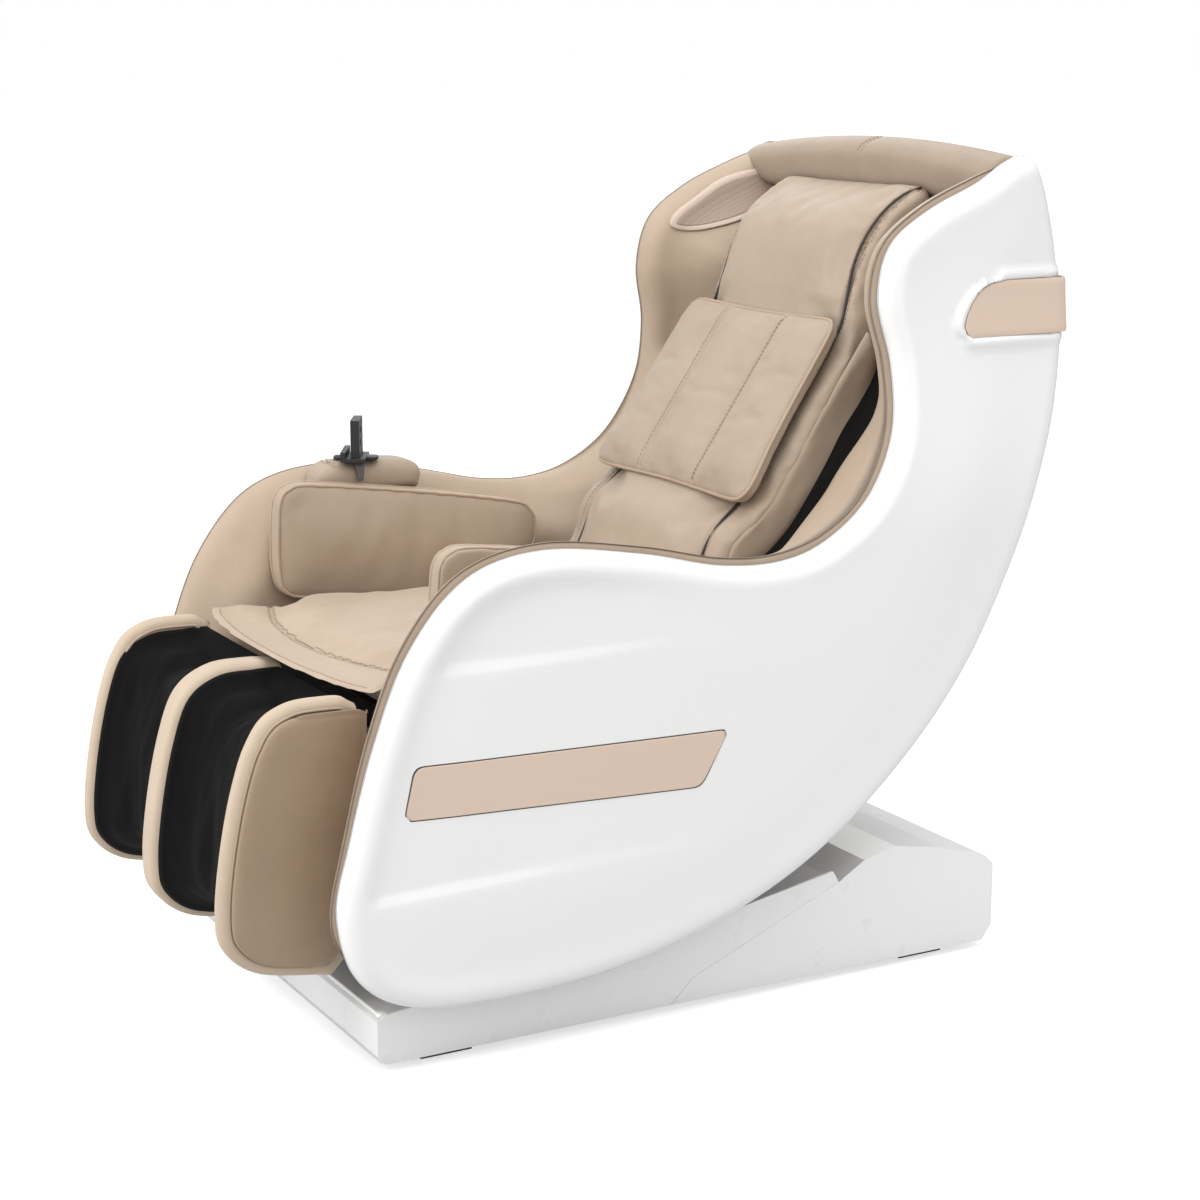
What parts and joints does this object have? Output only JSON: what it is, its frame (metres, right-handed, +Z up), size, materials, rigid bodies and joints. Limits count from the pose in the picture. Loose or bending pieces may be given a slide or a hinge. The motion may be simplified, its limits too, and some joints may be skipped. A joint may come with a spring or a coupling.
{
  "type": "massage chair",
  "caption": "Reclining massage chair with curved side shells, padded seat and back, swinging calf rest, lumbar pillow, roller massage unit and a remote on the arm.",
  "frame": {"origin": "on the floor, on the middle plane, half way along the chair's length", "axes": "+Z up, the chair faces -Y, +X is the sitter's left"},
  "size_m": [0.7358, 1.1862, 1.097],
  "materials": {
    "shell_white": "smooth glossy moulded plastic",
    "accent_rose": "satin rose-beige trim",
    "leather_beige": "soft fine-grained artificial leather",
    "calf_fabric": "matt black stretch fabric",
    "grille": "perforated speaker grille in a moulded bezel",
    "frame_steel": "black powder-coated steel",
    "bright_steel": "ground steel bar",
    "black_plastic": "fine-textured moulded plastic",
    "rubber": "solid rubber",
    "roller_plastic": "hard moulded plastic"
  },
  "bodies": {
    "base": {"base_frame": "frame_steel", "base_cover_front": "shell_white", "base_cover_rear": "shell_white", "foot_front_left": "rubber", "foot_front_right": "rubber", "foot_rear_left": "rubber", "foot_rear_right": "rubber", "power_supply": "frame_steel"},
    "switch": {"power_switch": "black_plastic"},
    "wheel_left": {"wheel_left": "rubber"},
    "wheel_right": {"wheel_right": "rubber"},
    "carriage": {"carriage_frame": "frame_steel", "recline_shaft": "bright_steel"},
    "recline_motor": {"recline_motor": "black_plastic"},
    "recline_rod": {"recline_rod": "bright_steel"},
    "chair": {"seat_frame": "frame_steel", "back_frame": "frame_steel", "legrest_shaft": "bright_steel", "air_pump": "black_plastic", "control_box": "black_plastic", "side_shell_left": "shell_white", "side_shell_right": "shell_white", "arm_liner_left": "leather_beige", "arm_liner_right": "leather_beige", "head_wing_left": "leather_beige", "head_wing_right": "leather_beige", "speaker_left": "grille", "speaker_right": "grille", "hood": "leather_beige", "back_shell": "shell_white", "rear_band": "accent_rose", "accent_strip_left": "accent_rose", "accent_strip_right": "accent_rose", "seat_pad": "leather_beige", "back_pad": "leather_beige", "arm_pad_left": "leather_beige", "arm_pad_right": "leather_beige", "remote_housing": "leather_beige"},
    "legrest": {"calf_frame": "frame_steel", "calf_divider_left": "leather_beige", "calf_divider_middle": "leather_beige", "calf_divider_right": "leather_beige", "calf_trough_left": "calf_fabric", "calf_trough_right": "calf_fabric"},
    "leg_motor": {"legrest_motor": "black_plastic"},
    "leg_rod": {"legrest_rod": "bright_steel"},
    "massage_unit": {"massage_frame": "frame_steel", "knead_motor": "black_plastic"},
    "knead_shaft": {"knead_shaft": "bright_steel"},
    "massage_arm_left": {"massage_arm_left": "roller_plastic"},
    "massage_arm_right": {"massage_arm_right": "roller_plastic"},
    "roller_upper_left": {"massage_roller_upper_left": "roller_plastic"},
    "roller_upper_right": {"massage_roller_upper_right": "roller_plastic"},
    "roller_lower_left": {"massage_roller_lower_left": "roller_plastic"},
    "roller_lower_right": {"massage_roller_lower_right": "roller_plastic"},
    "pillow": {"back_pillow": "leather_beige"},
    "holder": {"holder_bracket": "black_plastic"},
    "remote": {"remote": "black_plastic"},
    "remote_power": {"remote_power_button": "roller_plastic"},
    "remote_mode": {"remote_mode_button": "roller_plastic"}
  },
  "joints": [
    {"name": "carriage_slide", "type": "slide", "parent": "base", "child": "carriage", "axis": [0, -1, 0], "range_m": [0, 0.12]},
    {"name": "recline", "type": "hinge", "parent": "carriage", "child": "chair", "pos_m": [0, -0.08307, 0.34], "axis": [-1, 0, 0], "range_deg": [0, 28]},
    {"name": "recline_motor_swing", "type": "hinge", "parent": "carriage", "child": "recline_motor", "pos_m": [0, -0.32307, 0.145], "axis": [-1, 0, 0], "range_deg": [0, 7]},
    {"name": "recline_rod_slide", "type": "slide", "parent": "recline_motor", "child": "recline_rod", "axis": [0, 0.9811, 0.1936], "range_m": [-0.08, 0]},
    {"name": "legrest_swing", "type": "hinge", "parent": "chair", "child": "legrest", "pos_m": [0, -0.44807, 0.335], "axis": [-1, 0, 0], "range_deg": [0, 80]},
    {"name": "legrest_motor_swing", "type": "hinge", "parent": "chair", "child": "leg_motor", "pos_m": [0, -0.10307, 0.27], "axis": [1, 0, 0], "range_deg": [0, 4.5]},
    {"name": "legrest_rod_slide", "type": "slide", "parent": "leg_motor", "child": "leg_rod", "axis": [0, -0.9949, 0.1012], "range_m": [0, 0.076]},
    {"name": "massage_travel", "type": "slide", "parent": "chair", "child": "massage_unit", "axis": [0, 0.5664, 0.8241], "range_m": [0, 0.24]},
    {"name": "knead_spin", "type": "hinge", "parent": "massage_unit", "child": "knead_shaft", "pos_m": [0, 0.27702, 0.60098], "axis": [1, 0, 0], "continuous": true},
    {"name": "tap_left", "type": "hinge", "parent": "massage_unit", "child": "massage_arm_left", "pos_m": [0, 0.27702, 0.60098], "axis": [1, 0, 0], "range_deg": [-5, 5]},
    {"name": "tap_right", "type": "hinge", "parent": "massage_unit", "child": "massage_arm_right", "pos_m": [0, 0.27702, 0.60098], "axis": [1, 0, 0], "range_deg": [-5, 5]},
    {"name": "roller_upper_left_spin", "type": "hinge", "parent": "massage_arm_left", "child": "roller_upper_left", "pos_m": [0.098, 0.2918, 0.64542], "axis": [1, 0, 0], "continuous": true},
    {"name": "roller_lower_left_spin", "type": "hinge", "parent": "massage_arm_left", "child": "roller_lower_left", "pos_m": [0.098, 0.24082, 0.57125], "axis": [1, 0, 0], "continuous": true},
    {"name": "roller_upper_right_spin", "type": "hinge", "parent": "massage_arm_right", "child": "roller_upper_right", "pos_m": [-0.098, 0.2918, 0.64542], "axis": [1, 0, 0], "continuous": true},
    {"name": "roller_lower_right_spin", "type": "hinge", "parent": "massage_arm_right", "child": "roller_lower_right", "pos_m": [-0.098, 0.24082, 0.57125], "axis": [1, 0, 0], "continuous": true},
    {"name": "pillow_flip", "type": "hinge", "parent": "chair", "child": "pillow", "pos_m": [0, 0.31808, 0.8664], "axis": [-1, 0, 0], "range_deg": [0, 120]},
    {"name": "holder_swivel", "type": "hinge", "parent": "chair", "child": "holder", "pos_m": [-0.284, -0.16907, 0.6545], "axis": [0, 0, 1], "range_deg": [-30, 30]},
    {"name": "remote_lift", "type": "slide", "parent": "holder", "child": "remote", "axis": [0, 0, 1], "range_m": [0, 0.07]},
    {"name": "remote_power_press", "type": "slide", "parent": "remote", "child": "remote_power", "axis": [-0.4845, -0.8748, 0], "range_m": [0, 0.0012]},
    {"name": "remote_mode_press", "type": "slide", "parent": "remote", "child": "remote_mode", "axis": [-0.4845, -0.8748, 0], "range_m": [0, 0.0012]},
    {"name": "power_switch_rock", "type": "hinge", "parent": "base", "child": "switch", "pos_m": [0.2, 0.51493, 0.082], "axis": [1, 0, 0], "range_deg": [-8, 8]},
    {"name": "wheel_left_spin", "type": "hinge", "parent": "base", "child": "wheel_left", "pos_m": [0.215, 0.48493, 0.03], "axis": [1, 0, 0], "continuous": true},
    {"name": "wheel_right_spin", "type": "hinge", "parent": "base", "child": "wheel_right", "pos_m": [-0.215, 0.48493, 0.03], "axis": [1, 0, 0], "continuous": true}
  ],
  "couplings": [
    {"joint": "recline", "follows": "carriage_slide", "rad_per_m": 4.05},
    {"joint": "recline_motor_swing", "follows": "carriage_slide", "rad_per_m": 0.989},
    {"joint": "recline_rod_slide", "follows": "carriage_slide", "ratio": -0.656},
    {"joint": "legrest_motor_swing", "follows": "legrest_swing", "ratio": 0.0537},
    {"joint": "legrest_rod_slide", "follows": "legrest_swing", "m_per_rad": 0.0533},
    {"joint": "tap_right", "follows": "tap_left", "ratio": -1}
  ]
}
